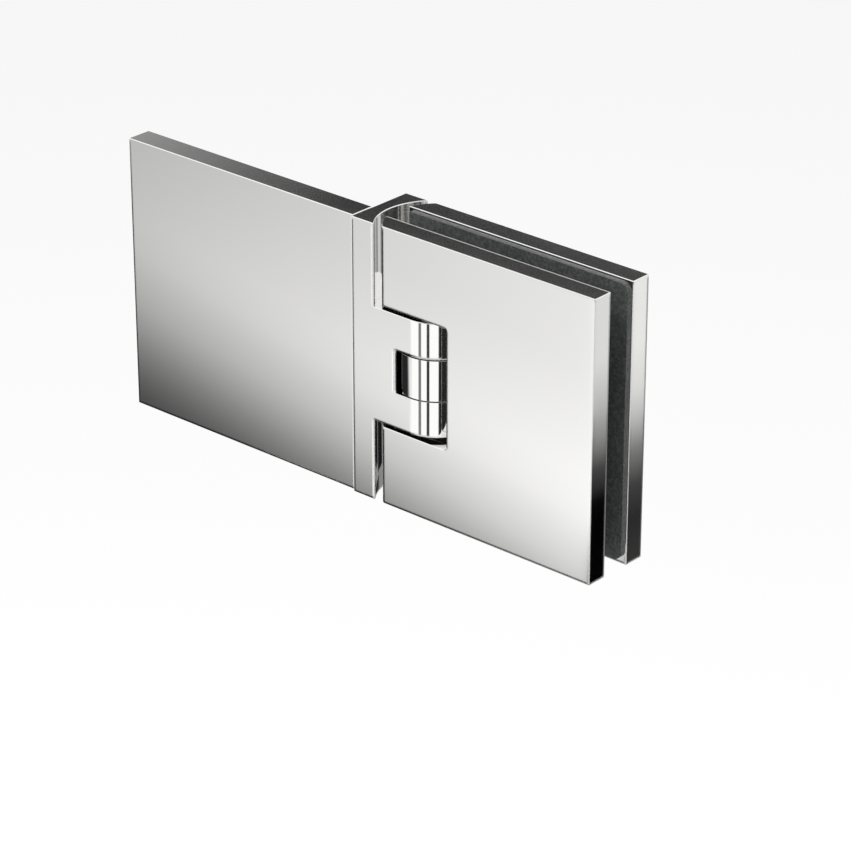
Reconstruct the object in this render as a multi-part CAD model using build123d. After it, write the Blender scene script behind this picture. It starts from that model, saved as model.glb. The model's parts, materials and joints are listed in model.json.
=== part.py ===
from build123d import *
import math
import os

# Double-action hinge between a wall and a glass door, in millimetres.
# +X runs along the plates from the wall leaf to the door leaf, +Y into the wall, +Z up.
# The origin is the centre of the wall screws, on the face that lies against the wall.

# The glass and what grips it
glass_thickness = 8.0
gasket_thickness = 1.0
gasket_inset = 1.2
gasket_corner = 3.0
clamp_thickness = 7.0
clamp_width = 80.0
plate_height = 90.0
edge_chamfer = 0.2

# The pivot, measured from the left end of the clamp plates
pivot_inset = 11.0
swing_gap = 3.2
knuckle_stack = 37.0
middle_knuckle = 13.0
knuckle_play = 0.4
stem_clearance = 0.5
notch_height = 39.2
notch_wall_gap = 2.0
notch_corner = 1.0
pin_radius = 4.0
pin_fit = 0.02
pin_recess = 0.3
running_fit = 0.05
bush_wall = 1.5
bush_seat = 0.02
bush_gap = 0.2
flange_radius = 9.0
flange_thickness = 1.2
flange_play = 0.05

# The block that carries the middle knuckle between the clamp plates
block_length = 32.0
block_height = 36.0
block_clearance = 1.4
liner_wall = 1.8
liner_clearance = 0.2
liner_edge_gap = 0.3

# The wall leaf
post_width = 8.8
root_depth = 2.0
wall_plate_length = 94.0
wall_plate_depth = 8.5
wall_plate_setback = 1.0
base_thickness = 5.0
cover_wall = 2.0
cover_clearance = 0.25
cover_seam = 0.35
wall_screw_spacing_x = 60.0
wall_screw_spacing_z = 56.0
wall_screw_hole = 2.75
wall_screw_head = 5.5

# Clamp screws, dowels and grub screws
screw_radius = 2.5
screw_head = 4.7
screw_clearance = 0.25
screw_fit = 0.02
screw_edge = 8.0
screw_row_inset = 7.0
screw_head_sink = 0.3
screw_socket = 3.0
screw_socket_depth = 2.2
tapped_floor = 1.5
tip_clearance = 0.5
dowel_radius = 1.5
dowel_fit = 0.02
dowel_row_inset = 3.5
dowel_depth = 4.0
grub_radius = 2.0
pin_grub_sink = 2.0
grub_socket = 2.0
grub_socket_depth = 2.0
cover_grub_sink = 0.4
cover_grub_radius = 1.5
cover_grub_length = 6.0
cover_grub_socket = 1.5
cover_grub_inset = 17.0

# How far a cut runs past the face that it enters
overshoot = 1.0

# Sizes that follow from those above
clamp_gap = glass_thickness + 2 * gasket_thickness
leaf_depth = clamp_gap + 2 * clamp_thickness
knuckle_radius = leaf_depth / 2
half_height = plate_height / 2
pivot_x = wall_plate_length / 2 + post_width + swing_gap + pivot_inset
pivot_y = leaf_depth / 2 - wall_plate_setback - wall_plate_depth
front_y = pivot_y - leaf_depth / 2
back_y = pivot_y + leaf_depth / 2
inner_front_y = pivot_y - clamp_gap / 2
inner_back_y = pivot_y + clamp_gap / 2
glass_front_y = pivot_y - glass_thickness / 2
glass_back_y = pivot_y + glass_thickness / 2
post_left = wall_plate_length / 2
post_right = post_left + post_width
clamp_left = pivot_x - pivot_inset
clamp_right = clamp_left + clamp_width
flank_radius = math.hypot(swing_gap + pivot_inset, knuckle_radius)
clamp_end_radius = math.hypot(pivot_inset, knuckle_radius)
slot_radius = math.hypot(knuckle_radius, clamp_gap / 2 + stem_clearance)
notch_wall = pivot_x + knuckle_radius + notch_wall_gap
block_start = pivot_x + slot_radius + block_clearance
block_end = block_start + block_length
bush_radius = pin_radius + running_fit + bush_wall
outer_knuckle_start = middle_knuckle / 2 + knuckle_play
outer_knuckle_mid = (outer_knuckle_start + knuckle_stack / 2) / 2
pin_grub_length = knuckle_radius - pin_radius - pin_fit - pin_grub_sink
screw_columns = (block_start + screw_edge, block_end - screw_edge)
screw_rows = (block_height / 2 - screw_row_inset, -block_height / 2 + screw_row_inset)
dowel_x = (block_start + block_end) / 2
dowel_rows = (block_height / 2 - dowel_row_inset, -block_height / 2 + dowel_row_inset)


def block(x0, x1, y0, y1, z0, z1):
    """A box between two corners."""
    middle = Pos((x0 + x1) / 2, (y0 + y1) / 2, (z0 + z1) / 2)
    return middle * Box(x1 - x0, y1 - y0, z1 - z0)


def upright_cylinder(radius, z0, z1, x=pivot_x, y=pivot_y):
    """A cylinder along Z, on the pivot unless placed elsewhere."""
    return Pos(x, y, (z0 + z1) / 2) * Cylinder(radius, z1 - z0)


def cross_cylinder(radius, x, z, y0, y1):
    """A cylinder along Y."""
    return Pos(x, (y0 + y1) / 2, z) * Rot(90, 0, 0) * Cylinder(radius, y1 - y0)


def countersink(radius_wide, radius_narrow, x, z, wide_y, towards):
    """A 90 degree cone along Y whose wide end lies at wide_y and which narrows in the given direction."""
    depth = radius_wide - radius_narrow
    turn = Rot(90, 0, 0) if towards < 0 else Rot(-90, 0, 0)
    return Pos(x, wide_y + towards * depth / 2, z) * turn * Cone(radius_wide, radius_narrow, depth)


def hex_prism(across_flats, length):
    """A hexagonal prism along Z, centred on the origin."""
    face = RegularPolygon(across_flats / math.sqrt(3), 6)
    return Pos(0, 0, -length / 2) * extrude(face, amount=length)


def on_circle(radius, angle):
    """A point on a circle about the pivot, with its angle in degrees from +X."""
    turn = math.radians(angle)
    return (pivot_x + radius * math.cos(turn), pivot_y + radius * math.sin(turn))


def upright_prism(outline, half_z):
    """A closed plan outline carried along Z, the same distance above and below the middle."""
    return Pos(0, 0, -half_z) * extrude(make_face(outline), amount=2 * half_z)


def post():
    """The upright between the leaves, with a flank hollowed about the pivot."""
    corner_angle = math.degrees(math.atan2(knuckle_radius, swing_gap + pivot_inset))
    front_corner = on_circle(flank_radius, 180 + corner_angle)
    neck = on_circle(flank_radius, 180)
    back_corner = on_circle(flank_radius, 180 - corner_angle)
    flank = ThreePointArc(front_corner, neck, back_corner)
    sides = Polyline(back_corner, (post_left, back_y), (post_left, front_y), front_corner)
    return chamfer(upright_prism(sides + flank, half_height).edges(), edge_chamfer)


def tongue():
    """The two outer knuckles before they are parted, running from the post round the pivot."""
    root = post_left + root_depth
    nose = ThreePointArc((pivot_x, front_y), (pivot_x + knuckle_radius, pivot_y), (pivot_x, back_y))
    sides = Polyline((pivot_x, back_y), (root, back_y), (root, front_y), (pivot_x, front_y))
    body = upright_prism(sides + nose, knuckle_stack / 2)
    rims = body.faces().sort_by(Axis.Z)
    return chamfer(rims[0].edges() + rims[-1].edges(), edge_chamfer)


def base_plate():
    """The plate that is screwed to the wall, behind the cover."""
    inset = cover_wall + cover_clearance
    left = -wall_plate_length / 2 + inset
    edge_z = half_height - inset
    return block(left, post_left + root_depth, -base_thickness, 0, -edge_z, edge_z)


def wall_bracket():
    """Base plate, post and outer knuckles, milled as one piece."""
    body = base_plate() + post() + tongue()
    body -= upright_cylinder(slot_radius, -outer_knuckle_start, outer_knuckle_start)
    body -= upright_cylinder(pin_radius + pin_fit, -knuckle_stack, knuckle_stack)
    for side in (-1, 1):
        height = side * outer_knuckle_mid
        body -= cross_cylinder(grub_radius + screw_fit, pivot_x, height, pivot_y, back_y + overshoot)
        body -= cover_grub_hole(side)
    for x in (-wall_screw_spacing_x / 2, wall_screw_spacing_x / 2):
        for z in (-wall_screw_spacing_z / 2, wall_screw_spacing_z / 2):
            body -= cross_cylinder(wall_screw_hole, x, z, -base_thickness - overshoot, overshoot)
            body -= countersink(wall_screw_head, wall_screw_hole, x, z, -base_thickness, 1)
    return body


def cover_grub_place(side):
    """Plan position of a cover grub screw, in the middle of the base plate's lower edge."""
    return side * (wall_plate_length / 2 - cover_grub_inset), -base_thickness / 2


def cover_grub_hole(side):
    """Hole for a cover grub screw through the cover's lower wall and into the base plate."""
    x, y = cover_grub_place(side)
    deep = -half_height + cover_grub_sink + cover_grub_length + tip_clearance
    return upright_cylinder(cover_grub_radius + screw_fit, -half_height - overshoot, deep, x, y)


def wall_cover():
    """A pan that slips over the base plate and ends at a fine seam beside the post."""
    left = -wall_plate_length / 2
    right = post_left - cover_seam
    body = block(left, right, -wall_plate_depth, 0, -half_height, half_height)
    body = chamfer(body.edges(), edge_chamfer)
    inner_z = half_height - cover_wall
    floor = -wall_plate_depth + cover_wall
    body -= block(left + cover_wall, right + overshoot, floor, overshoot, -inner_z, inner_z)
    for side in (-1, 1):
        body -= cover_grub_hole(side)
    return body


def grub_screw(radius, length, socket):
    """A headless screw with a flat point, along Z with its socket at the top."""
    return Cylinder(radius, length) - Pos(0, 0, length / 2) * hex_prism(socket, 2 * grub_socket_depth)


def cover_grub_screw(side):
    """Grub screw that holds the cover, entered from below."""
    x, y = cover_grub_place(side)
    middle = -half_height + cover_grub_sink + cover_grub_length / 2
    screw = grub_screw(cover_grub_radius, cover_grub_length, cover_grub_socket)
    return Pos(x, y, middle) * Rot(180, 0, 0) * screw


def pin_grub_screw(side):
    """Grub screw that locks the pin, entered from the back of an outer knuckle."""
    middle = pivot_y + pin_radius + pin_fit + pin_grub_length / 2
    screw = grub_screw(grub_radius, pin_grub_length, grub_socket)
    return Pos(pivot_x, middle, side * outer_knuckle_mid) * Rot(-90, 0, 0) * screw


def pivot_pin():
    """The pin through the three knuckles."""
    half = knuckle_stack / 2 - pin_recess
    return upright_cylinder(pin_radius, -half, half)


def pivot_bush(side):
    """A flanged plastic bush that lines half of the middle knuckle and keeps it off its neighbour."""
    top = middle_knuckle / 2 + knuckle_play - flange_play
    sleeve = upright_cylinder(bush_radius, bush_gap / 2, top)
    flange = upright_cylinder(flange_radius, top - flange_thickness, top)
    bore = upright_cylinder(pin_radius + running_fit, -overshoot, top + overshoot)
    upper = sleeve + flange - bore
    return upper if side > 0 else mirror(upper, about=Plane.XY)


def pivot_block():
    """Middle knuckle, stem and carrier, in one piece between the clamp plates."""
    half = middle_knuckle / 2
    body = upright_cylinder(knuckle_radius, -half, half)
    body += block(pivot_x, block_start + root_depth, inner_front_y, inner_back_y, -half, half)
    body += block(
        block_start, block_end, inner_front_y, inner_back_y, -block_height / 2, block_height / 2
    )
    body -= upright_cylinder(bush_radius + bush_seat, -half - overshoot, half + overshoot)
    recess = half + knuckle_play - flange_play - flange_thickness - bush_seat
    for side in (-1, 1):
        low, high = sorted((side * recess, side * (half + overshoot)))
        body -= upright_cylinder(flange_radius + bush_seat, low, high)
    for x in screw_columns:
        for z in screw_rows:
            body -= cross_cylinder(screw_radius + screw_clearance, x, z, front_y, back_y)
    for z in dowel_rows:
        body -= cross_cylinder(dowel_radius + dowel_fit, dowel_x, z, front_y, back_y)
    return body


def clamp_blank(outer_y, inner_y, inset, end_radius):
    """A slab between two depths whose left end is rounded about the pivot."""
    half = half_height - inset
    right = clamp_right - inset
    reach = [math.asin((y - pivot_y) / end_radius) for y in (outer_y, inner_y)]
    angles = [180 - math.degrees(a) for a in reach]
    outer, inner = (on_circle(end_radius, a) for a in angles)
    middle = on_circle(end_radius, sum(angles) / 2)
    end = ThreePointArc(inner, middle, outer)
    sides = Polyline(outer, (right, outer_y), (right, inner_y), inner)
    return upright_prism(sides + end, half)


def clamp_plate(outer_y, inner_y):
    """A clamp plate before it is drilled, notched for the knuckles and eased along its edges."""
    body = clamp_blank(outer_y, inner_y, 0, clamp_end_radius)
    low, high = sorted((outer_y, inner_y))
    notch = block(
        pivot_x - 2 * clamp_end_radius,
        notch_wall,
        low - overshoot,
        high + overshoot,
        -notch_height / 2,
        notch_height / 2,
    )
    inner_corners = notch.edges().filter_by(Axis.Y).group_by(Axis.X)[-1]
    body -= fillet(inner_corners, notch_corner)
    return chamfer(body.edges(), edge_chamfer)


def front_clamp_plate():
    """The plate that faces the room, tapped blind from inside."""
    body = clamp_plate(front_y, inner_front_y)
    floor = front_y + tapped_floor
    for x in screw_columns:
        for z in screw_rows:
            body -= cross_cylinder(screw_radius + screw_fit, x, z, floor, inner_front_y + overshoot)
    for z in dowel_rows:
        deep = inner_front_y - dowel_depth
        body -= cross_cylinder(dowel_radius + dowel_fit, dowel_x, z, deep, inner_front_y + overshoot)
    return body


def back_clamp_plate():
    """The plate on the far side of the glass, countersunk for the clamp screws."""
    body = clamp_plate(back_y, inner_back_y)
    narrow = screw_radius + screw_clearance
    wide = screw_head + screw_clearance + screw_head_sink
    for x in screw_columns:
        for z in screw_rows:
            body -= cross_cylinder(narrow, x, z, inner_back_y - overshoot, back_y + overshoot)
            body -= countersink(wide, narrow, x, z, back_y, -1)
    for z in dowel_rows:
        deep = inner_back_y + dowel_depth
        body -= cross_cylinder(dowel_radius + dowel_fit, dowel_x, z, inner_back_y - overshoot, deep)
    return body


def clamp_screw(x, z):
    """Countersunk socket screw, from the back plate through the block into the front plate."""
    head_y = back_y - screw_head_sink
    tip = front_y + tapped_floor + tip_clearance
    body = cross_cylinder(screw_radius, x, z, tip, head_y)
    body += countersink(screw_head, screw_radius, x, z, head_y, -1)
    socket = Rot(90, 0, 0) * hex_prism(screw_socket, 2 * screw_socket_depth)
    return body - Pos(x, head_y, z) * socket


def locating_dowel(z):
    """A pin that lines the clamp plates up with the block."""
    start = inner_front_y - dowel_depth + tip_clearance
    end = inner_back_y + dowel_depth - tip_clearance
    return cross_cylinder(dowel_radius, dowel_x, z, start, end)


def gasket(outer_y, inner_y):
    """A soft sheet between a clamp plate and the glass, cut away round the block and the knuckles."""
    body = clamp_blank(outer_y, inner_y, gasket_inset, clamp_end_radius - gasket_inset)
    upright = body.edges().filter_by(Axis.Y)
    body = fillet(upright, gasket_corner)
    low, high = sorted((outer_y, inner_y))
    cut_z = block_height / 2 + liner_clearance + liner_wall + liner_edge_gap
    cut_x = block_end + liner_clearance + liner_wall + liner_edge_gap
    left = pivot_x - 2 * clamp_end_radius
    return body - block(left, cut_x, low - overshoot, high + overshoot, -cut_z, cut_z)


def cutout_liner():
    """A plastic channel between the block and the edge of the cut-out in the glass."""
    outer = liner_clearance + liner_wall
    half = block_height / 2
    body = block(
        block_start, block_end + outer, glass_front_y, glass_back_y, -half - outer, half + outer
    )
    inner = liner_clearance
    return body - block(
        block_start - overshoot,
        block_end + inner,
        glass_front_y - overshoot,
        glass_back_y + overshoot,
        -half - inner,
        half + inner,
    )


def all_parts():
    """Every piece of the hinge by name."""
    parts = {
        "wall_bracket": wall_bracket(),
        "wall_cover": wall_cover(),
        "cover_grub_screw_left": cover_grub_screw(-1),
        "cover_grub_screw_right": cover_grub_screw(1),
        "pivot_pin": pivot_pin(),
        "pin_grub_screw_lower": pin_grub_screw(-1),
        "pin_grub_screw_upper": pin_grub_screw(1),
        "pivot_block": pivot_block(),
        "pivot_bush_lower": pivot_bush(-1),
        "pivot_bush_upper": pivot_bush(1),
        "front_clamp_plate": front_clamp_plate(),
        "back_clamp_plate": back_clamp_plate(),
        "front_gasket": gasket(inner_front_y, glass_front_y),
        "back_gasket": gasket(inner_back_y, glass_back_y),
        "cutout_liner": cutout_liner(),
        "locating_dowel_upper": locating_dowel(dowel_rows[0]),
        "locating_dowel_lower": locating_dowel(dowel_rows[1]),
    }
    places = [(x, z) for x in screw_columns for z in screw_rows]
    for number, (x, z) in enumerate(places, start=1):
        parts[f"clamp_screw_{number}"] = clamp_screw(x, z)
    return parts


os.makedirs("parts", exist_ok=True)
for name, shape in all_parts().items():
    export_step(shape, f"parts/{name}.step")
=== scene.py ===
import json
import math

import bpy
import numpy as np
from mathutils import Matrix, Vector


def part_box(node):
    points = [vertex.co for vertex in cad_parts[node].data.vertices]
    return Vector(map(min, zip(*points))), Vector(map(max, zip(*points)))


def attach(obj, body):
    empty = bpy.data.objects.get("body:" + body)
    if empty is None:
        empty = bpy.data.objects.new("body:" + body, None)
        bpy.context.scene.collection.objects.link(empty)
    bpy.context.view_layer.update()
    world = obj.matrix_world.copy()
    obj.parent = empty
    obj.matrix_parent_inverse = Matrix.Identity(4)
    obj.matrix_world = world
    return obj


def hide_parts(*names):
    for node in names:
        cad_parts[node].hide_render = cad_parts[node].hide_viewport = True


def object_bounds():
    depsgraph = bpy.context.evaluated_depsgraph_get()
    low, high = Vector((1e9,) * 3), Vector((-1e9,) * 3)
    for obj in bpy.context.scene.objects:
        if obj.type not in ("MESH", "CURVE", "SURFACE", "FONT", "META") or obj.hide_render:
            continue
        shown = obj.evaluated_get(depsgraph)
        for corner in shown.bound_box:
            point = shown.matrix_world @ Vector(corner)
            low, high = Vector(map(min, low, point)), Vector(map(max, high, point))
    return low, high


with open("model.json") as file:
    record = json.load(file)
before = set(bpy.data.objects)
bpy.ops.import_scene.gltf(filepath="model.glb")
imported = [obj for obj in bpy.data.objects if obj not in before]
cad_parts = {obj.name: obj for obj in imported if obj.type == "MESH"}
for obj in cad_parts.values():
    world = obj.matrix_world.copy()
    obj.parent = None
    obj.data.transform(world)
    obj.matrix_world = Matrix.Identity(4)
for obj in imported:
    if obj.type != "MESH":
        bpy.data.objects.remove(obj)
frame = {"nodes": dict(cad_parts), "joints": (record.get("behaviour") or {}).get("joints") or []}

bl_info = {
    "name": "Glass door hinge",
    "version": (1, 0, 0),
    "blender": (4, 5, 0),
    "location": "3D Viewport > Sidebar > Hinge",
    "description": "Finishes, screws, gaskets and studio for a double-action glass door hinge",
    "category": "Object",
}

CAD_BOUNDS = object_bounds()
NODES = frame["nodes"]
WALL_LEAF = "wall_leaf"
DOOR_LEAF = "door_leaf"
MM = 0.001

# Directions, the slope of an even field, and the scale that leaves only the level part of a vector
UP = (0.0, 0.0, 1.0)
FRONT = (0.0, -1.0, 0.0)
BACK = (0.0, 1.0, 0.0)
LEFT = (-1.0, 0.0, 0.0)
RIGHT = (1.0, 0.0, 0.0)
RIGHT_FRONT = (1.0, -1.0, 0.0)
NO_SLOPE = (0.0, 0.0, 0.0)
LEVEL_PART = (1.0, 1.0, 0.0)

# What counts as an edge, a top face and a side wall: the least lean of a softened normal away from the flat
# one, and the least part of the flat normal that points upwards or sideways
LEAN = 0.01
TOP_FACE = 0.3
SIDE_WALL = 0.5

# The pivot and the boxes of the clamp plates, from the frame. The knuckles are flush with the front plate.
PIVOT = Vector(frame["joints"][0]["pos_m"])
FRONT_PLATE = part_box("front_clamp_plate")
BACK_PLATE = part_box("back_clamp_plate")
KNUCKLE_RADIUS = PIVOT.y - FRONT_PLATE[0].y
# The slot in the wall leaf, whose wall is given painted shade: how far its wall is from the pivot's axis at
# most, and half its height
SLOT_REACH = KNUCKLE_RADIUS + 1.3 * MM
SLOT_HALF = 6.9 * MM
# The highest faces lie above this height
HIGHEST_FACES = CAD_BOUNDS[1].z - 1.0 * MM

# Flags: their distance from the hinge, and their tones by height in the face that mirrors them. The height
# is in metres above the lowest edge.
FLAG_REACH = 1.0
FRONT_TONES = (
    (-0.006, 0.13),
    (0.002, 0.22),
    (0.010, 0.355),
    (0.027, 0.72),
    (0.045, 0.97),
    (0.056, 1.0),
    (0.09, 0.87),
    (0.115, 0.84),
)
FRONT_END_TONES = ((0.027, 0.0), (0.031, 0.03), (0.037, 0.06), (0.045, 0.25), (0.057, 0.52), (0.070, 0.76))
BACK_END_TONES = (
    (0.0, 0.04),
    (0.015, 0.025),
    (0.026, 0.055),
    (0.037, 0.22),
    (0.046, 0.52),
    (0.056, 0.76),
    (0.07, 0.88),
)
# The tones of the flag above, by place along the top faces
TOP_TONES = ((-0.05, 0.30), (0.0, 0.13), (0.04, 0.04), (0.14, 0.055))
# The front flag's tones also climb a little towards the right, and its gain grows with the place along it
FRONT_TONE_SLOPE = 0.17
FRONT_GAIN_SLOPE = 2.34
FRONT_GAIN = 0.70
# How far each flag is seen past the faces that mirror it: left, right and in height for the fronts, across
# and in height for the ends, left, right and across for the tops
FRONT_MARGINS = (0.02, 0.0005, 0.015)
END_MARGINS = (0.003, 0.02)
TOP_MARGINS = (0.03, 0.02, 0.01)

# The tent: a dome about the pivot that only mirrors see. Bearings run from the front towards +X and
# elevations up from the horizon, both in degrees, as the steps do. A band of the dome holds what the
# knuckles mirror.
TENT_RADIUS = 1.1
TENT_STEPS = (181, 91)
BAND_TONES = (
    (-180.0, 0.25),
    (-172.0, 0.03),
    (-150.0, 0.03),
    (-147.0, 0.60),
    (-137.0, 0.60),
    (-134.0, 0.02),
    (-47.5, 0.02),
    (-46.5, 1.06),
    (-13.5, 1.06),
    (-12.5, 0.20),
    (-5.5, 0.20),
    (-4.5, 1.06),
    (11.0, 1.06),
    (12.0, 0.02),
    (19.0, 0.02),
    (20.0, 1.06),
    (44.5, 1.06),
    (46.0, 0.02),
    (58.0, 0.02),
    (62.0, 0.75),
    (110.0, 0.72),
    (136.0, 0.62),
    (142.0, 0.28),
    (180.0, 0.25),
)
# Below the band it is dark to the left, which draws the lower edges
LOWER_TONES = (
    (-180.0, 0.55),
    (-146.0, 0.50),
    (-138.0, 0.02),
    (-34.0, 0.02),
    (-28.0, 0.60),
    (60.0, 0.75),
    (180.0, 0.55),
)
# Above the band and straight below the hinge it is shaded by elevation alone
SOFT_TONES = (
    (-90.0, 0.35),
    (-58.0, 0.55),
    (-20.0, 0.42),
    (-4.0, 0.80),
    (12.0, 0.50),
    (19.0, 0.62),
    (24.0, 0.98),
    (50.0, 1.04),
    (62.0, 0.75),
    (90.0, 0.55),
)
# How much of the dome is band or lower tones, by elevation, and how much of that is the band
DRAWN_SHARE = ((-58.0, 0.0), (-54.0, 1.0), (-18.5, 1.0), (-15.0, 0.0))
BAND_SHARE = ((-30.5, 0.0), (-29.0, 1.0))

# The black screen low behind the hinge, which the pivot's gap and slot mirror below the upper knuckle
LOW_SCREEN_RADIUS = 1.08
LOW_SCREEN_BEARINGS = (80.0, 153.0)
LOW_SCREEN_FOOT = -40.0
LOW_SCREEN_TOP = 0.011
LOW_SCREEN_STEPS = (61, 9)
LOW_SCREEN_TONE = 0.01

# The floor: how far below the hinge it lies, and its reach, colour, roughness and glow
FLOOR_Z = CAD_BOUNDS[0].z - 1.2
FLOOR_REACH = 12.0
FLOOR_COLOUR = (0.8, 0.8, 0.8, 1.0)
FLOOR_ROUGHNESS = 0.9
FLOOR_GLOW = 0.45

# The surround, and the lamps by name, place, width and power, all aimed at one point
WHITE = (1.0, 1.0, 1.0, 1.0)
SURROUND_STRENGTH = 0.55
LAMP_AIM = (0.05, 0.0, 0.0)
LAMPS = (
    ("Key lamp", (-0.9, -1.1, 1.6), 1.2, 26.0),
    ("Fill lamp", (1.4, -0.6, 0.9), 1.0, 10.0),
)

# The camera: its aim right of and below the centre of the wall screws, its sensor and its clipping
AIM_RIGHT = 0.05058
AIM_DOWN = 0.03726
SENSOR_WIDTH = 36.0
CLIP_NEAR = 0.01
CLIP_FAR = 100.0

# Polished plating: hairlines, haze, a cool cast in broad clouds, and painted shade on the wall of the slot
HAIRLINE_SCALE = (140.0, 140.0, 9000.0)
HAIRLINE_TURN = (0.35, 0.0, 0.2)
HAIRLINE_LEVEL = 0.72
HAIRLINE_ROUGHNESS = 0.02
HAZE_SCALE = 45.0
HAZE_LEVEL = 0.35
PLATE_HAZE = 0.02
CAST_SCALE = 12.0
CAST_SHARE = 0.06
CAST_COLOUR = (0.82, 0.84, 0.88, 1.0)
# Painted shade: the dark colour given to the wall of the slot
SLOT_SHADE_COLOUR = (0.08, 0.08, 0.08, 1.0)
EDGE_SAMPLES = 8

# Moulded grain: clouds of bloom, speckles of dust, and how much the grain roughens and dents the surface
CLOUD_SCALE = 60.0
SPECKLE_SCALE = 1300.0
SPECKLE_LEVEL = 0.42
SPECKLE_GAIN = 7.0
BLOOM_COLOUR = (0.32, 0.33, 0.33, 1.0)
GRAIN_ROUGHNESS = 0.2
GRAIN_DENT = 0.6

# Rings that the grinding wheel leaves: how much they roughen and dent the surface, and their height
RING_ROUGHNESS = 0.25
RING_DENT = 0.3
RING_HEIGHT = 0.00001

# The numbers of a Mix node's two inputs and its output, by the kind of value
MIX_SOCKETS = {"VECTOR": (4, 5, 1), "RGBA": (6, 7, 2)}
FLOAT = "NodeSocketFloat"
COLOUR = "NodeSocketColor"
SURFACE_OUTPUTS = {"Color": COLOUR, "Roughness": FLOAT, "Height": FLOAT}

# Meshes are smooth up to this angle between faces. A thread has some rings a turn, and a socket ends in a
# cone that is a fraction as deep as the socket is wide.
SMOOTH_ANGLE = math.radians(35.0)
RINGS_A_TURN = 6
CONE_FRACTION = 6
# Clamp screws: points round a ring, radius of the shank, chamfers, thread and socket. The thread ends at a
# share of the length, and its depth is a share of its pitch.
CLAMP_SIDES = 48
CLAMP_SHANK = 2.5 * MM
CLAMP_TIP_CHAMFER = 0.5 * MM
CLAMP_HEAD_CHAMFER = 0.05 * MM
CLAMP_THREAD_START = 0.3 * MM
CLAMP_THREAD_END = 0.72
CLAMP_THREAD_DEPTH = 0.55
CLAMP_SOCKET_WIDTH = 3.0 * MM
CLAMP_SOCKET_DEPTH = 2.2 * MM
# Grub screws: points round a ring, the tip's radius and length as shares of the radius, thread and socket
GRUB_SIDES = 36
GRUB_TIP_RADIUS = 0.7
GRUB_TIP_LENGTH = 0.3
GRUB_CHAMFER = 0.2 * MM
GRUB_THREAD_DEPTH = 0.5
GRUB_SOCKET_DEPTH = 2.0 * MM

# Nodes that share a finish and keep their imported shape
GROUND_STEEL = ("pivot_pin", "locating_dowel_upper", "locating_dowel_lower")
BUSHES = ("pivot_bush_lower", "pivot_bush_upper")
GASKETS = ("front_gasket", "back_gasket")
# Nodes that get a thread and a socket
CLAMP_SCREWS = tuple(f"clamp_screw_{number}" for number in range(1, 5))
GRUB_SCREWS = (
    "cover_grub_screw_left",
    "cover_grub_screw_right",
    "pin_grub_screw_lower",
    "pin_grub_screw_upper",
)


class ChromeFinish(bpy.types.PropertyGroup):
    """Sizes and colours of the plated surfaces."""

    tint: bpy.props.FloatVectorProperty(
        name="Chrome tint",
        description="Colour of the polished plating",
        subtype="COLOR",
        size=3,
        min=0.0,
        max=1.0,
        default=(0.93, 0.925, 0.915),
    )
    roughness: bpy.props.FloatProperty(
        name="Roughness",
        description="Blur of the reflections on a freshly polished face",
        subtype="FACTOR",
        min=0.0,
        max=1.0,
        default=0.035,
    )
    ripple: bpy.props.FloatProperty(
        name="Ripple",
        description="Height of the slow waves that hand polishing leaves",
        subtype="DISTANCE",
        unit="LENGTH",
        default=0.0000012,
    )
    edge_rounding: bpy.props.FloatProperty(
        name="Edge rounding",
        description="Reach over which polishing softens the left and lower edges of the plates",
        subtype="DISTANCE",
        unit="LENGTH",
        default=0.0012,
    )
    corner_rounding: bpy.props.FloatProperty(
        name="Corner rounding",
        description="Reach over which polishing softens the front of the post towards its right edge",
        subtype="DISTANCE",
        unit="LENGTH",
        default=0.0014,
    )
    rim_rounding: bpy.props.FloatProperty(
        name="Rim rounding",
        description="Reach over which polishing softens the back edge of the front plate's top face",
        subtype="DISTANCE",
        unit="LENGTH",
        default=0.0008,
    )
    top_rounding: bpy.props.FloatProperty(
        name="Top edge rounding",
        description="Reach over which polishing softens the upper edges and the knuckle, which stay crisp",
        subtype="DISTANCE",
        unit="LENGTH",
        default=0.0001,
    )
    ripple_length: bpy.props.FloatProperty(
        name="Ripple length",
        description="Distance from one polishing wave to the next",
        subtype="DISTANCE",
        unit="LENGTH",
        default=0.030,
    )


class RubberFinish(bpy.types.PropertyGroup):
    """Colour and bloom of the gaskets."""

    colour: bpy.props.FloatVectorProperty(
        name="Gasket colour",
        description="Colour of the soft sheets on the inner faces of the clamp plates",
        subtype="COLOR",
        size=3,
        min=0.0,
        max=1.0,
        default=(0.035, 0.039, 0.037),
    )
    bloom: bpy.props.FloatProperty(
        name="Bloom",
        description="Share of pale bloom and speckle on the sheet",
        subtype="FACTOR",
        min=0.0,
        max=1.0,
        default=0.12,
    )


class ScrewSizes(bpy.types.PropertyGroup):
    """Pitches of the screws' threads."""

    clamp_pitch: bpy.props.FloatProperty(
        name="Clamp screw pitch",
        description="Distance between turns of the clamp screws' thread",
        subtype="DISTANCE",
        unit="LENGTH",
        default=0.0008,
    )
    grub_pitch: bpy.props.FloatProperty(
        name="Grub screw pitch",
        description="Distance between turns of the grub screws' thread",
        subtype="DISTANCE",
        unit="LENGTH",
        default=0.0006,
    )


class StudioSizes(bpy.types.PropertyGroup):
    """Place and lens of the camera."""

    azimuth: bpy.props.FloatProperty(
        name="Azimuth",
        description="Angle of the camera to the right of the front",
        subtype="ANGLE",
        unit="ROTATION",
        default=math.radians(41.55),
    )
    elevation: bpy.props.FloatProperty(
        name="Elevation",
        description="Angle of the camera above the horizon",
        subtype="ANGLE",
        unit="ROTATION",
        default=math.radians(25.6),
    )
    distance: bpy.props.FloatProperty(
        name="Distance",
        description="Distance from the camera to the centre of the wall screws",
        subtype="DISTANCE",
        unit="LENGTH",
        default=1.1243,
    )
    lens: bpy.props.FloatProperty(
        name="Lens",
        description="Focal length of the camera",
        unit="CAMERA",
        default=154.79,
    )


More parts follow.
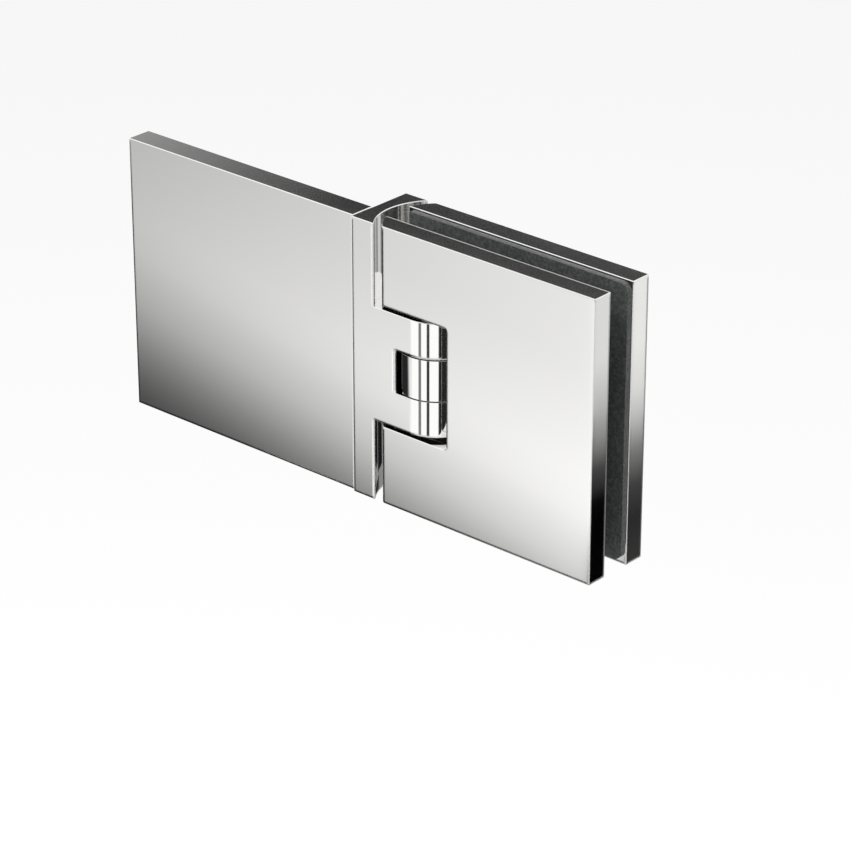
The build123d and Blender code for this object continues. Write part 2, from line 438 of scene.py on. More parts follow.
CLASSES = [ChromeFinish, RubberFinish, ScrewSizes, StudioSizes]


def operator(cls):
    """Adds an operator or panel to the classes that register() takes."""
    CLASSES.append(cls)
    return cls


# Shader building


def shader_tree(name):
    """A new material, its node tree and its Principled shader."""
    material = bpy.data.materials.new(name)
    material.use_nodes = True
    tree = material.node_tree
    return material, tree, tree.nodes["Principled BSDF"]


def linked(tree, source, target):
    """Joins two sockets."""
    tree.links.new(source, target)


def feed(tree, value, socket):
    """Gives an input a plain value or another node's output."""
    if isinstance(value, bpy.types.NodeSocket):
        linked(tree, value, socket)
    else:
        socket.default_value = value


def math_node(tree, operation, first, second=None, clamp=False):
    """A maths node over numbers, and its output."""
    node = tree.nodes.new("ShaderNodeMath")
    node.operation = operation
    node.use_clamp = clamp
    feed(tree, first, node.inputs[0])
    if second is not None:
        feed(tree, second, node.inputs[1])
    return node.outputs["Value"]


def vector_node(tree, operation, first, second=None, output="Vector"):
    """A maths node over vectors, and its output."""
    node = tree.nodes.new("ShaderNodeVectorMath")
    node.operation = operation
    feed(tree, first, node.inputs[0])
    if second is not None:
        feed(tree, second, node.inputs[1])
    return node.outputs[output]


def mixed(tree, kind, share, first, second, blend="MIX"):
    """The first vector or colour, and the second as far as a share says."""
    mix = tree.nodes.new("ShaderNodeMix")
    mix.data_type = kind
    mix.blend_type = blend
    place_first, place_second, place_result = MIX_SOCKETS[kind]
    linked(tree, share, mix.inputs["Factor"])
    linked(tree, first, mix.inputs[place_first])
    feed(tree, second, mix.inputs[place_second])
    return mix.outputs[place_result]


def object_place(tree):
    """The place of a point on its object, in metres."""
    return tree.nodes.new("ShaderNodeTexCoord").outputs["Object"]


def level_length(tree, offset):
    """How far an offset reaches sideways: the length of its level part."""
    level = vector_node(tree, "MULTIPLY", offset, LEVEL_PART)
    return vector_node(tree, "LENGTH", level, output="Value")


def stretched(tree, vector, scale, turn=(0.0, 0.0, 0.0)):
    """Coordinates scaled along each axis and then turned."""
    mapping = tree.nodes.new("ShaderNodeMapping")
    mapping.inputs["Scale"].default_value = scale
    mapping.inputs["Rotation"].default_value = turn
    linked(tree, vector, mapping.inputs["Vector"])
    return mapping.outputs["Vector"]


def noise_node(tree, vector, scale, detail=2.0, roughness=0.5):
    """A noise texture over the given coordinates, and its value."""
    node = tree.nodes.new("ShaderNodeTexNoise")
    feed(tree, scale, node.inputs["Scale"])
    node.inputs["Detail"].default_value = detail
    node.inputs["Roughness"].default_value = roughness
    linked(tree, vector, node.inputs["Vector"])
    return node.outputs["Fac"]


def node_group(name, inputs, outputs):
    """A shader node group with named sockets, built once and found again by its name."""
    found = bpy.data.node_groups.get(name)
    if found:
        return found, None, None
    group = bpy.data.node_groups.new(name, "ShaderNodeTree")
    for side, sockets in (("INPUT", inputs), ("OUTPUT", outputs)):
        for label, kind in sockets.items():
            group.interface.new_socket(label, in_out=side, socket_type=kind)
    return group, group.nodes.new("NodeGroupInput"), group.nodes.new("NodeGroupOutput")


def placed_group(tree, group, values):
    """A node group placed in a material with its own values."""
    node = tree.nodes.new("ShaderNodeGroup")
    node.node_tree = group
    for label, value in values.items():
        node.inputs[label].default_value = value
    return node


def polish_group():
    """Polished metal: slow ripple as height, hairlines and haze as roughness, a cool cast in the colour."""
    group, given, made = node_group(
        "Polished plating",
        {"Ripple Length": FLOAT, "Roughness": FLOAT, "Haze": FLOAT, "Tint": COLOUR},
        SURFACE_OUTPUTS,
    )
    if given is None:
        return group
    place = object_place(group)
    scale = math_node(group, "DIVIDE", 1.0, given.outputs["Ripple Length"])
    linked(group, noise_node(group, place, scale, detail=0.0), made.inputs["Height"])
    hairline = noise_node(group, stretched(group, place, HAIRLINE_SCALE, HAIRLINE_TURN), 1.0)
    hairline = math_node(group, "GREATER_THAN", hairline, HAIRLINE_LEVEL)
    haze = noise_node(group, place, HAZE_SCALE, detail=4.0, roughness=0.6)
    haze = math_node(group, "SUBTRACT", haze, HAZE_LEVEL, clamp=True)
    haze = math_node(group, "MULTIPLY", haze, given.outputs["Haze"])
    scratch = math_node(group, "MULTIPLY", hairline, HAIRLINE_ROUGHNESS)
    rough = math_node(group, "ADD", given.outputs["Roughness"], haze)
    rough = math_node(group, "ADD", rough, scratch)
    linked(group, rough, made.inputs["Roughness"])
    cast = math_node(group, "MULTIPLY", noise_node(group, place, CAST_SCALE, detail=1.0), CAST_SHARE)
    colour = mixed(group, "RGBA", cast, given.outputs["Tint"], CAST_COLOUR, blend="MULTIPLY")
    linked(group, colour, made.inputs["Color"])
    return group


def grain_group():
    """Moulded rubber or plastic: a fine pebbled height, with bloom and dust that lift the colour."""
    group, given, made = node_group(
        "Moulded grain",
        {"Colour": COLOUR, "Bloom": FLOAT, "Grain Scale": FLOAT, "Roughness": FLOAT},
        SURFACE_OUTPUTS,
    )
    if given is None:
        return group
    place = object_place(group)
    grain = noise_node(group, place, given.outputs["Grain Scale"], detail=3.0)
    linked(group, grain, made.inputs["Height"])
    cloud = noise_node(group, place, CLOUD_SCALE, detail=5.0, roughness=0.65)
    speckle = noise_node(group, place, SPECKLE_SCALE, roughness=0.7)
    speckle = math_node(group, "SUBTRACT", speckle, SPECKLE_LEVEL, clamp=True)
    cloud = math_node(group, "ADD", cloud, math_node(group, "MULTIPLY", speckle, SPECKLE_GAIN))
    cloud = math_node(group, "MULTIPLY", cloud, given.outputs["Bloom"])
    colour = mixed(group, "RGBA", cloud, given.outputs["Colour"], BLOOM_COLOUR)
    linked(group, colour, made.inputs["Color"])
    rough = math_node(group, "MULTIPLY", grain, GRAIN_ROUGHNESS)
    linked(group, math_node(group, "ADD", given.outputs["Roughness"], rough), made.inputs["Roughness"])
    return group


def bumped(tree, height, strength, distance, under=None):
    """A bump node over a height, on the plain or a given normal, and its normal."""
    bump = tree.nodes.new("ShaderNodeBump")
    bump.inputs["Strength"].default_value = strength
    bump.inputs["Distance"].default_value = distance
    linked(tree, height, bump.inputs["Height"])
    if under:
        linked(tree, under, bump.inputs["Normal"])
    return bump.outputs["Normal"]


def rounded(tree, radius):
    """The normal of a surface whose edges are rounded to a radius."""
    edge = tree.nodes.new("ShaderNodeBevel")
    edge.samples = EDGE_SAMPLES
    edge.inputs["Radius"].default_value = radius
    return edge.outputs["Normal"]


def height_of(tree, vector):
    """The upward part of a vector."""
    axes = tree.nodes.new("ShaderNodeSeparateXYZ")
    linked(tree, vector, axes.inputs["Vector"])
    return axes.outputs["Z"]


def pointing(tree, vector, direction, least):
    """One where a vector reaches further along a direction than a least amount, and otherwise nought."""
    along = vector_node(tree, "DOT_PRODUCT", vector, direction, "Value")
    return math_node(tree, "GREATER_THAN", along, least)


def softened(tree, finish, reach, corner, rim=0.0):
    """The normal of a polished body whose edges are softened over different reaches.

    Left and lower edges have the widest reach, and a front face has the corner's towards its right edge.
    Upper edges, top faces, walls that face left and the front edges of walls that face right stay crisp. A
    rim softens the top face towards its back.
    """
    flat = tree.nodes.new("ShaderNodeNewGeometry").outputs["Normal"]
    wide = rounded(tree, reach)
    lean = vector_node(tree, "SUBTRACT", wide, flat)
    rightward = pointing(tree, lean, RIGHT_FRONT, LEAN)
    normal = mixed(tree, "VECTOR", rightward, wide, rounded(tree, corner))
    crisp = math_node(tree, "MULTIPLY", rightward, pointing(tree, flat, RIGHT, SIDE_WALL))
    for vector, direction, least in ((flat, UP, TOP_FACE), (lean, UP, LEAN), (flat, LEFT, SIDE_WALL)):
        crisp = math_node(tree, "MAXIMUM", crisp, pointing(tree, vector, direction, least))
    normal = mixed(tree, "VECTOR", crisp, normal, rounded(tree, finish.top_rounding))
    if rim:
        top = math_node(tree, "GREATER_THAN", height_of(tree, object_place(tree)), HIGHEST_FACES)
        inner = math_node(tree, "MULTIPLY", top, pointing(tree, lean, BACK, LEAN))
        normal = mixed(tree, "VECTOR", inner, normal, rounded(tree, rim))
    return normal


def painted_slot_shade(tree, colour):
    """A colour that turns dark on the wall of the slot: painted shade in the recess."""
    offset = vector_node(tree, "SUBTRACT", object_place(tree), PIVOT)
    inside = math_node(tree, "LESS_THAN", level_length(tree, offset), SLOT_REACH)
    height = math_node(tree, "ABSOLUTE", height_of(tree, offset))
    inside = math_node(tree, "MULTIPLY", inside, math_node(tree, "LESS_THAN", height, SLOT_HALF))
    return mixed(tree, "RGBA", inside, colour, SLOT_SHADE_COLOUR)


def plated_material(name, finish, roughness, haze, tint, reaches=None, shade_slot=False):
    """Mirror plating over brass, with edges softened over the given reaches and painted shade on a slot's
    wall.
    """
    material, tree, shader = shader_tree(name)
    values = {
        "Ripple Length": finish.ripple_length,
        "Roughness": roughness,
        "Haze": haze,
        "Tint": (*tint, 1.0),
    }
    polish = placed_group(tree, polish_group(), values)
    shader.inputs["Metallic"].default_value = 1.0
    colour = polish.outputs["Color"]
    linked(tree, painted_slot_shade(tree, colour) if shade_slot else colour, shader.inputs["Base Color"])
    linked(tree, polish.outputs["Roughness"], shader.inputs["Roughness"])
    edge = softened(tree, finish, *reaches) if reaches else None
    normal = bumped(tree, polish.outputs["Height"], 1.0, finish.ripple, edge)
    linked(tree, normal, shader.inputs["Normal"])
    return material


def moulded_material(name, colour, roughness, bloom, grain_scale, grain_height):
    """Rubber or plastic with a moulded grain."""
    material, tree, shader = shader_tree(name)
    values = {
        "Colour": (*colour, 1.0),
        "Bloom": bloom,
        "Grain Scale": grain_scale,
        "Roughness": roughness,
    }
    grain = placed_group(tree, grain_group(), values)
    linked(tree, grain.outputs["Color"], shader.inputs["Base Color"])
    linked(tree, grain.outputs["Roughness"], shader.inputs["Roughness"])
    linked(tree, bumped(tree, grain.outputs["Height"], GRAIN_DENT, grain_height), shader.inputs["Normal"])
    return material


def turned_material(name, tint, roughness, axis_scale):
    """Ground or turned steel: fine rings round the piece from the grinding wheel."""
    material, tree, shader = shader_tree(name)
    rings = noise_node(tree, stretched(tree, object_place(tree), axis_scale), 1.0, detail=3.0)
    rough = math_node(tree, "MULTIPLY", rings, RING_ROUGHNESS)
    linked(tree, math_node(tree, "ADD", rough, roughness), shader.inputs["Roughness"])
    linked(tree, bumped(tree, rings, RING_DENT, RING_HEIGHT), shader.inputs["Normal"])
    shader.inputs["Metallic"].default_value = 1.0
    shader.inputs["Base Color"].default_value = (*tint, 1.0)
    return material


def wear(node, material):
    """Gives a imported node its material."""
    for slot in NODES[node].material_slots:
        slot.material = material


# Mesh building


def mesh_piece(name, points, faces, material, body, node):
    """A mesh in place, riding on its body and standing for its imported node."""
    mesh = bpy.data.meshes.new(name)
    mesh.from_pydata(points, [], faces)
    mesh.update()
    mesh.validate()
    piece = bpy.data.objects.new(name, mesh)
    bpy.context.scene.collection.objects.link(piece)
    mesh.materials.append(material)
    mesh.polygons.foreach_set("use_smooth", np.ones(len(mesh.polygons), bool))
    mesh.set_sharp_from_angle(angle=SMOOTH_ANGLE)
    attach(piece, body)
    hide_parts(node)
    return piece


def grid_faces(rows, columns, first=0):
    """Quads of a grid closed along its columns: each face joins a point, its neighbour and the next row."""
    row, column = np.meshgrid(np.arange(rows - 1), np.arange(columns), indexing="ij")
    right = (column + 1) % columns
    here = row * columns
    ahead = here + columns
    quads = np.stack([here + column, here + right, ahead + right, ahead + column], axis=-1)
    return (quads.reshape(-1, 4) + first).tolist()


def thread_radius(angle, along, radius, depth, pitch, run_out):
    """Radius of a threaded shank: a triangle wave that climbs one pitch a turn and fades at both ends."""
    phase = (along / pitch - angle / (2 * math.pi)) % 1.0
    wave = np.abs(2 * phase - 1)
    return radius - depth * wave * run_out


def screw_mesh(profile, thread, socket, sides):
    """A screw along +Z: rings of the head and tip, a threaded shank between them, and a hexagonal socket.

    Each ring is a circle whose radius and height come from the profile. Rings inside the threaded span
    take their radius from a helical triangle wave. The socket is a hexagon carried down from the top. Its
    radius is half its width divided by the cosine of the angle from the middle of the nearest flat.
    """
    start, end, pitch, depth = thread
    angle = np.linspace(0, 2 * math.pi, sides, endpoint=False)
    heights = []
    radii = []
    for (z0, r0), (z1, r1) in zip(profile[:-1], profile[1:]):
        steps = max(1, int(round(abs(z1 - z0) / (pitch / RINGS_A_TURN)))) if r0 == r1 else 1
        share = np.arange(steps) / steps
        heights.append(z0 + (z1 - z0) * share)
        radii.append(r0 + (r1 - r0) * share)
    heights = np.append(np.concatenate(heights), profile[-1][0])
    radii = np.append(np.concatenate(radii), profile[-1][1])
    fade = np.clip(np.minimum(heights - start, end - heights) / pitch, 0.0, 1.0)[:, None]
    ring_r = thread_radius(angle[None, :], heights[:, None], radii[:, None], depth, pitch, fade)
    x = ring_r * np.cos(angle)
    y = ring_r * np.sin(angle)
    z = np.repeat(heights[:, None], sides, axis=1)
    outside = np.stack([x, y, z], axis=-1).reshape(-1, 3)
    faces = grid_faces(len(heights), sides)
    across, floor_z = socket
    flat = math.pi / 3
    sector = (angle + flat / 2) % flat - flat / 2
    hexagon = across / 2 / np.cos(sector)
    top_z = profile[-1][0]
    rim = np.stack([hexagon * np.cos(angle), hexagon * np.sin(angle), np.full(sides, top_z)], axis=-1)
    floor = rim.copy()
    floor[:, 2] = floor_z
    centres = [[0, 0, profile[0][0]], [0, 0, floor_z - across / CONE_FRACTION]]
    points = np.concatenate([outside, rim, floor, centres])
    rim_first = len(outside)
    top_ring = rim_first - sides
    step = np.arange(sides)
    after = (step + 1) % sides
    faces += np.stack([top_ring + step, top_ring + after, rim_first + after, rim_first + step], -1).tolist()
    faces += grid_faces(2, sides, rim_first)
    tip = len(points) - 2
    faces += np.stack([after, step, np.full(sides, tip)], -1).tolist()
    deep = rim_first + sides
    faces += np.stack([deep + step, deep + after, np.full(sides, tip + 1)], -1).tolist()
    return points, faces


def turned_to(points, axis, origin):
    """Points of a piece along +Z, turned to lie along another axis from an origin."""
    turn = np.array(Vector(axis).to_track_quat("Z", "Y").to_matrix())
    return points @ turn.T + np.array(origin)


def clamp_screw_piece(node, material, sizes):
    """A countersunk socket screw along +Y, with its head flush in the back plate."""
    low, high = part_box(node)
    middle = (low + high) / 2
    length = high.y - low.y
    head = (high.x - low.x) / 2
    cone = head - CLAMP_SHANK
    profile = [
        (0.0, CLAMP_SHANK - CLAMP_TIP_CHAMFER),
        (CLAMP_TIP_CHAMFER, CLAMP_SHANK),
        (length - cone, CLAMP_SHANK),
        (length - CLAMP_HEAD_CHAMFER, head - CLAMP_HEAD_CHAMFER),
        (length, head - 2 * CLAMP_HEAD_CHAMFER),
    ]
    pitch = sizes.clamp_pitch
    thread = (CLAMP_THREAD_START, length * CLAMP_THREAD_END, pitch, pitch * CLAMP_THREAD_DEPTH)
    socket = (CLAMP_SOCKET_WIDTH, length - CLAMP_SOCKET_DEPTH)
    points, faces = screw_mesh(profile, thread, socket, CLAMP_SIDES)
    points = turned_to(points, (0, 1, 0), (middle.x, low.y, middle.z))
    return mesh_piece(f"{node}_threaded", points.tolist(), faces, material, DOOR_LEAF, node)


def grub_screw_piece(node, material, sizes):
    """A headless socket screw that points down or backwards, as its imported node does."""
    low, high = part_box(node)
    size = high - low
    middle = (low + high) / 2
    upright = size.z > size.y
    length = size.z if upright else size.y
    radius = size.x / 2
    profile = [
        (0.0, radius * GRUB_TIP_RADIUS),
        (radius * GRUB_TIP_LENGTH, radius),
        (length - GRUB_CHAMFER, radius),
        (length, radius - GRUB_CHAMFER),
    ]
    thread = (0.0, length, sizes.grub_pitch, sizes.grub_pitch * GRUB_THREAD_DEPTH)
    socket = (radius, length - GRUB_SOCKET_DEPTH)
    points, faces = screw_mesh(profile, thread, socket, GRUB_SIDES)
    if upright:
        points = turned_to(points, (0, 0, -1), (middle.x, middle.y, high.z))
    else:
        points = turned_to(points, (0, 1, 0), (middle.x, low.y, middle.z))
    return mesh_piece(f"{node}_threaded", points.tolist(), faces, material, WALL_LEAF, node)


# Operators


@operator
class HINGE_OT_plates(bpy.types.Operator):
    """Gives the plates, the post and the knuckles their mirror plating"""

    bl_idname = "hinge.plates"
    bl_label = "Plate the leaves"

    def execute(self, context):
        finish = context.scene.hinge_chrome
        wide, fine = finish.edge_rounding, finish.top_rounding
        reaches = {
            "wall_cover": (wide, wide),
            "wall_bracket": (wide, finish.corner_rounding),
            "pivot_block": (fine, fine),
            "front_clamp_plate": (wide, fine, finish.rim_rounding),
            "back_clamp_plate": (wide, fine),
        }
        for node, edges in reaches.items():
            chrome = plated_material(
                node.replace("_", " ").capitalize() + " chrome",
                finish,
                roughness=finish.roughness,
                haze=PLATE_HAZE,
                tint=finish.tint,
                reaches=edges,
                # The bracket's slot wall gets painted shade
                shade_slot=node == "wall_bracket",
            )
            wear(node, chrome)
        return {"FINISHED"}


@operator
class HINGE_OT_pin(bpy.types.Operator):
    """Gives the pin and dowels their ground steel, and the bushes their plastic"""

    bl_idname = "hinge.pin"
    bl_label = "Finish pin, dowels and bushes"

    def execute(self, context):
        ground = turned_material(
            "Ground steel",
            tint=(0.62, 0.62, 0.63),
            roughness=0.18,
            axis_scale=(60.0, 60.0, 3000.0),
        )
        for node in GROUND_STEEL:
            wear(node, ground)
        plastic = moulded_material(
            "Bearing plastic",
            colour=(0.72, 0.7, 0.64),
            roughness=0.35,
            bloom=0.1,
            grain_scale=1800.0,
            grain_height=0.00002,
        )
        for node in BUSHES:
            wear(node, plastic)
        return {"FINISHED"}


@operator
class HINGE_OT_screws(bpy.types.Operator):
    """Makes the clamp screws and grub screws with their threads and sockets"""

    bl_idname = "hinge.screws"
    bl_label = "Make the screws"

    def execute(self, context):
        finish = context.scene.hinge_chrome
        sizes = context.scene.hinge_screws
        plated = plated_material(
            "Plated screw",
            finish,
            roughness=0.14,
            haze=0.12,
            tint=(0.78, 0.78, 0.79),
        )
        for node in CLAMP_SCREWS:
            clamp_screw_piece(node, plated, sizes)
        for node in GRUB_SCREWS:
            grub_screw_piece(node, plated, sizes)
        return {"FINISHED"}


@operator
class HINGE_OT_gaskets(bpy.types.Operator):
    """Gives the gaskets and the liner their rubber and plastic"""

    bl_idname = "hinge.gaskets"
    bl_label = "Finish gaskets and liner"

    def execute(self, context):
        finish = context.scene.hinge_rubber
        rubber = moulded_material(
            "Gasket rubber",
            colour=finish.colour,
            roughness=0.42,
            bloom=finish.bloom,
            grain_scale=1600.0,
            grain_height=0.00004,
        )
        for node in GASKETS:
            wear(node, rubber)
        liner = moulded_material(
            "Liner plastic",
            colour=(0.02, 0.02, 0.021),
            roughness=0.4,
            bloom=0.08,
            grain_scale=900.0,
            grain_height=0.00002,
        )
        wear("cutout_liner", liner)
        return {"FINISHED"}


def stage_mesh(name, points, faces, material):
    """A floor, flag or screen of the stage."""
    mesh = bpy.data.meshes.new(name)
    mesh.from_pydata([tuple(point) for point in points], [], faces)
    mesh.update()
    mesh.materials.append(material)
    sheet = bpy.data.objects.new(name, mesh)
    bpy.context.scene.collection.objects.link(sheet)
    return sheet


def seen_in_gloss_only(sheet):
    """Makes a flag or screen show in polished metal and nowhere else."""
    sheet.visible_camera = False
    sheet.visible_diffuse = False
    sheet.visible_transmission = False
    sheet.visible_volume_scatter = False
    sheet.visible_shadow = False


def face_point(tree, eye, normal, on_face):
    """The point of a flat face in which the eye sees this point mirrored.

    The eye is turned over to the back of the face. The line from there to the point is cut by the face.
    """
    behind = eye - 2 * (eye - on_face).dot(normal) * normal
    line = vector_node(tree, "SUBTRACT", object_place(tree), behind)
    rise = vector_node(tree, "DOT_PRODUCT", line, normal, "Value")
    share = math_node(tree, "DIVIDE", (on_face - behind).dot(normal), rise)
    scaled = tree.nodes.new("ShaderNodeVectorMath")
    scaled.operation = "SCALE"
    linked(tree, line, scaled.inputs["Vector"])
    linked(tree, share, scaled.inputs["Scale"])
    return vector_node(tree, "ADD", scaled.outputs["Vector"], behind)


def linear_field(tree, point, gradient, offset):
    """A value that grows steadily along a direction: point and gradient multiplied, plus an offset."""
    along = vector_node(tree, "DOT_PRODUCT", point, gradient, "Value")
    return math_node(tree, "ADD", along, offset)


def tone_ramp(tree, value, tones):
    """A ramp that turns a value into a grey by a list of values and tones."""
    first, last = tones[0][0], tones[-1][0]
    share = math_node(tree, "DIVIDE", math_node(tree, "SUBTRACT", value, first), last - first)
    ramp = tree.nodes.new("ShaderNodeValToRGB")
    elements = ramp.color_ramp.elements
    while len(elements) < len(tones):
        elements.new(0.5)
    for element, (place, tone) in zip(elements, tones):
        element.position = (place - first) / (last - first)
        element.color = (tone, tone, tone, 1.0)
    linked(tree, share, ramp.inputs["Fac"])
    return ramp.outputs["Color"]


def glow_material(name):
    """A material that only glows, its node tree and its glow."""
    material = bpy.data.materials.new(name)
    material.use_nodes = True
    tree = material.node_tree
    tree.nodes.clear()
    glow = tree.nodes.new("ShaderNodeEmission")
    out = tree.nodes.new("ShaderNodeOutputMaterial")
    linked(tree, glow.outputs["Emission"], out.inputs["Surface"])
    return material, tree, glow


def flag_material(name, mirror, shade, gain, tones):
    """A flag shaded by the point of a flat face that mirrors it.

    Its tone follows one linear field through a ramp and is multiplied by another.
    """
    material, tree, glow = glow_material(name)
    point = face_point(tree, *mirror)
    colour = tone_ramp(tree, linear_field(tree, point, *shade), tones)
    linked(tree, colour, glow.inputs["Color"])
    linked(tree, linear_field(tree, point, *gain), glow.inputs["Strength"])
    return material


def even_material(name, tone):
    """A screen of one even tone."""
    material, tree, glow = glow_material(name)
    glow.inputs["Color"].default_value = (tone, tone, tone, 1.0)
    return material


def tent_material():
    """The tent's tones, by bearing and elevation from the pivot, both taken with arc tangents."""
    material, tree, glow = glow_material("Tent")
    axes = tree.nodes.new("ShaderNodeSeparateXYZ")
    offset = vector_node(tree, "SUBTRACT", object_place(tree), PIVOT)
    linked(tree, offset, axes.inputs["Vector"])
    ahead = math_node(tree, "MULTIPLY", axes.outputs["Y"], -1.0)
    bearing = math_node(tree, "DEGREES", math_node(tree, "ARCTAN2", axes.outputs["X"], ahead))
    outward = level_length(tree, offset)
    elevation = math_node(tree, "DEGREES", math_node(tree, "ARCTAN2", axes.outputs["Z"], outward))
    band = tone_ramp(tree, bearing, BAND_TONES)
    lower = tone_ramp(tree, bearing, LOWER_TONES)
    soft = tone_ramp(tree, elevation, SOFT_TONES)
    drawn = mixed(tree, "RGBA", tone_ramp(tree, elevation, BAND_SHARE), lower, band)
    colour = mixed(tree, "RGBA", tone_ramp(tree, elevation, DRAWN_SHARE), soft, drawn)
    linked(tree, colour, glow.inputs["Color"])
    return material


def seen_directly(tree):
    """One for rays from the eye, a mirror or a clear body, and nought for light towards a matt face."""
    path = tree.nodes.new("ShaderNodeLightPath")
    seen = math_node(tree, "MAXIMUM", path.outputs["Is Camera Ray"], path.outputs["Is Glossy Ray"])
    return math_node(tree, "MAXIMUM", seen, path.outputs["Is Transmission Ray"])


def floor_material():
    """A pale floor that glows a little to eyes and mirrors, so that it stays white and keeps the shadow."""
    material, tree, shader = shader_tree("Pale floor")
    shader.inputs["Base Color"].default_value = FLOOR_COLOUR
    shader.inputs["Roughness"].default_value = FLOOR_ROUGHNESS
    shader.inputs["Specular IOR Level"].default_value = 0.0
    shader.inputs["Emission Color"].default_value = WHITE
    glow = math_node(tree, "MULTIPLY", seen_directly(tree), FLOOR_GLOW)
    linked(tree, glow, shader.inputs["Emission Strength"])
    return material


def white_world():
    """A plain white surround that looks white to eyes and mirrors and lights softly."""
    world = bpy.data.worlds.new("Studio")
    bpy.context.scene.world = world
    world.use_nodes = True
    tree = world.node_tree
    back = tree.nodes["Background"]
    back.inputs["Color"].default_value = WHITE
    seen = seen_directly(tree)
    rest = math_node(tree, "MULTIPLY", math_node(tree, "SUBTRACT", 1.0, seen), SURROUND_STRENGTH)
    linked(tree, math_node(tree, "ADD", rest, seen), back.inputs["Strength"])


def area_lamp(name, place, width, power):
    """A square soft lamp that points at the lamps' aim."""
    data = bpy.data.lights.new(name, "AREA")
    data.size = width
    data.energy = power
    lamp = bpy.data.objects.new(name, data)
    lamp.location = place
    lamp.rotation_euler = (Vector(LAMP_AIM) - Vector(place)).to_track_quat("-Z", "Y").to_euler()
    bpy.context.scene.collection.objects.link(lamp)


def camera_axes(azimuth, elevation):
    """Right, up and backward directions of a camera at an azimuth and elevation."""
    right = Vector((math.cos(azimuth), math.sin(azimuth), 0.0))
    flat = math.cos(elevation)
    back = Vector((math.sin(azimuth) * flat, -math.cos(azimuth) * flat, math.sin(elevation)))
    return right, back.cross(right), back


def mirrored(direction, normal):
    """The direction in which a face with this normal reflects a ray."""
    return direction - 2 * direction.dot(normal) * normal


def ring_of(a0, a1, b0, b1):
    """The four corners of a rectangle, in order round it."""
    return [(a0, b0), (a1, b0), (a1, b1), (a0, b1)]


def lay_flag(name, corners, normal, eye, shade, gain, tones):
    """A flag square to the mirrored line of sight, as large as a flat face with these corners shows it.

    The line from the eye to each corner is mirrored there and carried on to the plane of the flag.
    """
    normal = Vector(normal)
    centre = sum(corners, Vector()) / len(corners)
    away = mirrored((centre - eye).normalized(), normal)
    plane = centre + away * FLAG_REACH
    hits = []
    for corner in corners:
        ray = mirrored((corner - eye).normalized(), normal)
        hits.append(corner + ray * ((plane - corner).dot(away) / ray.dot(away)))
    material = flag_material(name, (eye, normal, centre), shade, gain, tones)
    seen_in_gloss_only(stage_mesh(name, hits, [(0, 1, 2, 3)], material))


def dome(name, radius, bearings, elevations, material):
    """A part of a sphere about the pivot, over ranges of bearing and elevation in degrees.

    Each point lies at the radius: outward by the cosine of its elevation and up by the sine.
    """
    rise, turn = np.meshgrid(np.radians(elevations), np.radians(bearings), indexing="ij")
    outward = radius * np.cos(rise)
    x = PIVOT.x + outward * np.sin(turn)
    y = PIVOT.y - outward * np.cos(turn)
    z = PIVOT.z + radius * np.sin(rise)
    points = np.stack([x, y, z], axis=-1).reshape(-1, 3)
    rows, columns = rise.shape
    first = (np.arange(rows - 1)[:, None] * columns + np.arange(columns - 1)).ravel()
    faces = np.stack([first, first + 1, first + columns + 1, first + columns], axis=-1)
    return stage_mesh(name, points.tolist(), faces.tolist(), material)


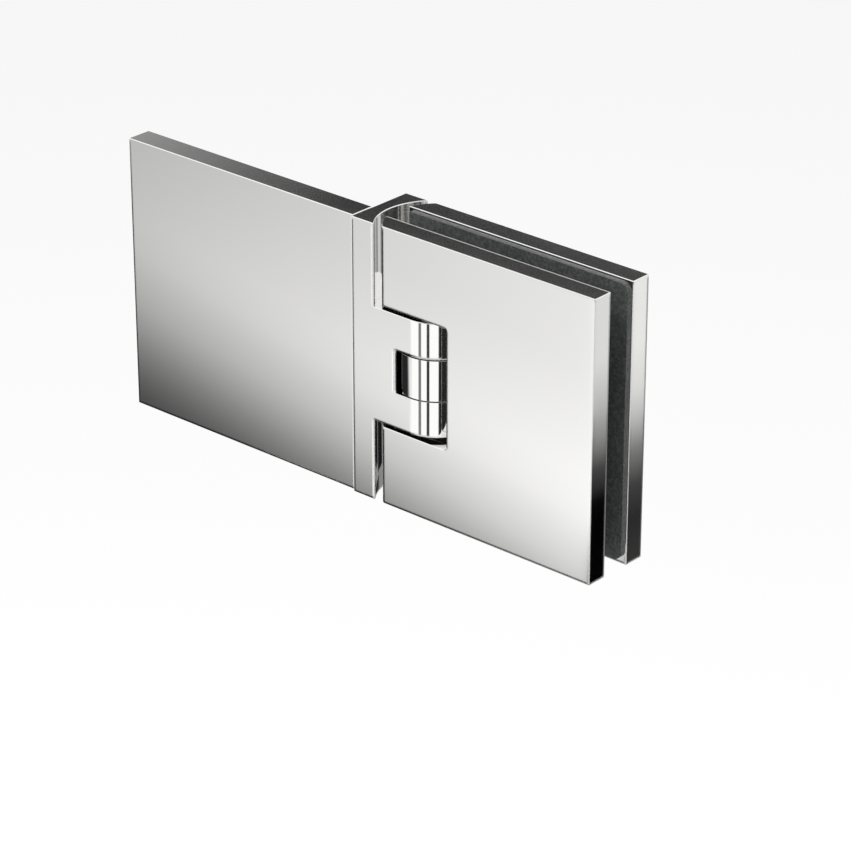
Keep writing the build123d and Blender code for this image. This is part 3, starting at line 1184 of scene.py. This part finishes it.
@operator
class HINGE_OT_stage(bpy.types.Operator):
    """Sets the floor, the surround, the lamps, the flags and the camera"""

    bl_idname = "hinge.stage"
    bl_label = "Set the studio"

    def execute(self, context):
        sizes = context.scene.hinge_studio
        right, up, back = camera_axes(sizes.azimuth, sizes.elevation)
        self.add_camera(context, sizes, right, up, back)
        self.add_floor()
        eye = context.scene.camera.location.copy()
        self.add_flags(eye)
        self.add_screens(eye)
        white_world()
        for lamp in LAMPS:
            area_lamp(*lamp)
        return {"FINISHED"}

    def add_camera(self, context, sizes, right, up, back):
        """The camera looks along its axis at a point right of and below the wall screws."""
        data = bpy.data.cameras.new("Camera")
        data.lens = sizes.lens
        data.sensor_width = SENSOR_WIDTH
        data.clip_start = CLIP_NEAR
        data.clip_end = CLIP_FAR
        camera = bpy.data.objects.new("Camera", data)
        aim = right * AIM_RIGHT - up * AIM_DOWN
        camera.location = aim + back * sizes.distance
        turn = Matrix((right, up, back)).transposed()
        camera.rotation_euler = turn.to_euler()
        context.scene.collection.objects.link(camera)
        context.scene.camera = camera

    def add_floor(self):
        """A wide pale floor well below the hinge, which hangs in the studio as it does on a wall."""
        corners = ring_of(-FLOOR_REACH, FLOOR_REACH, -FLOOR_REACH, FLOOR_REACH)
        stage_mesh("floor", [(x, y, FLOOR_Z) for x, y in corners], [(0, 1, 2, 3)], floor_material())

    def add_flags(self, eye):
        """Grey flags, each where flat faces mirror it: the fronts, the ends of the plates and the tops."""
        low, high = CAD_BOUNDS
        even = (NO_SLOPE, 1.0)
        left, right, rise = FRONT_MARGINS
        sides = ring_of(low.x - left, high.x + right, low.z - rise, high.z + rise)
        corners = [Vector((x, low.y, z)) for x, z in sides]
        shade = ((FRONT_TONE_SLOPE, 0.0, 1.0), -low.z)
        gain = ((FRONT_GAIN_SLOPE, 0.0, 0.0), FRONT_GAIN)
        lay_flag("front_flag", corners, FRONT, eye, shade, gain, FRONT_TONES)
        across, rise = END_MARGINS
        plates = (("front", FRONT_PLATE, FRONT_END_TONES), ("back", BACK_PLATE, BACK_END_TONES))
        for name, plate, tones in plates:
            sides = ring_of(plate[0].y - across, plate[1].y + across, low.z - rise, high.z + rise)
            corners = [Vector((high.x, y, z)) for y, z in sides]
            lay_flag(f"{name}_end_flag", corners, RIGHT, eye, (UP, -low.z), even, tones)
        left, right, across = TOP_MARGINS
        sides = ring_of(low.x - left, high.x + right, low.y - across, high.y + across)
        corners = [Vector((x, y, high.z)) for x, y in sides]
        lay_flag("top_flag", corners, UP, eye, (RIGHT, 0.0), even, TOP_TONES)

    def add_screens(self, eye):
        """The tent about the pivot, and the black screen low behind it."""
        bearings = np.linspace(-180.0, 180.0, TENT_STEPS[0])
        elevations = np.linspace(-90.0, 90.0, TENT_STEPS[1])
        seen_in_gloss_only(dome("tent", TENT_RADIUS, bearings, elevations, tent_material()))
        fall = (eye.z - PIVOT.z) / (eye - PIVOT).xy.length
        top = math.degrees(math.atan(LOW_SCREEN_TOP / LOW_SCREEN_RADIUS - fall))
        bearings = np.linspace(*LOW_SCREEN_BEARINGS, LOW_SCREEN_STEPS[0])
        elevations = np.linspace(LOW_SCREEN_FOOT, top, LOW_SCREEN_STEPS[1])
        black = even_material("Black screen", LOW_SCREEN_TONE)
        seen_in_gloss_only(dome("low_screen", LOW_SCREEN_RADIUS, bearings, elevations, black))


@operator
class HINGE_PT_sidebar(bpy.types.Panel):
    """Lists the hinge's sizes and the steps that make it"""

    bl_idname = "HINGE_PT_sidebar"
    bl_label = "Glass door hinge"
    bl_space_type = "VIEW_3D"
    bl_region_type = "UI"
    bl_category = "Hinge"

    def draw(self, context):
        for group in GROUPS:
            settings = getattr(context.scene, group)
            for name in settings.__annotations__:
                self.layout.prop(settings, name)
        for step in STEPS:
            self.layout.operator(f"hinge.{step}")


GROUPS = {
    "hinge_chrome": ChromeFinish,
    "hinge_rubber": RubberFinish,
    "hinge_screws": ScrewSizes,
    "hinge_studio": StudioSizes,
}
STEPS = ("plates", "pin", "screws", "gaskets", "stage")


def register():
    """Registers the classes and hangs the settings on the scene."""
    for cls in CLASSES:
        bpy.utils.register_class(cls)
    for name, group in GROUPS.items():
        setattr(bpy.types.Scene, name, bpy.props.PointerProperty(type=group))


def unregister():
    """Takes the settings and the classes away again."""
    for name in GROUPS:
        delattr(bpy.types.Scene, name)
    for cls in reversed(CLASSES):
        bpy.utils.unregister_class(cls)


def set_view():
    """Plain colours: the Standard view, with nothing else changed."""
    bpy.context.scene.view_settings.view_transform = "Standard"


def main():
    """Makes the hinge and its studio, step by step."""
    register()
    for step in STEPS:
        getattr(bpy.ops.hinge, step)()
    set_view()


if __name__ == "__main__":
    main()
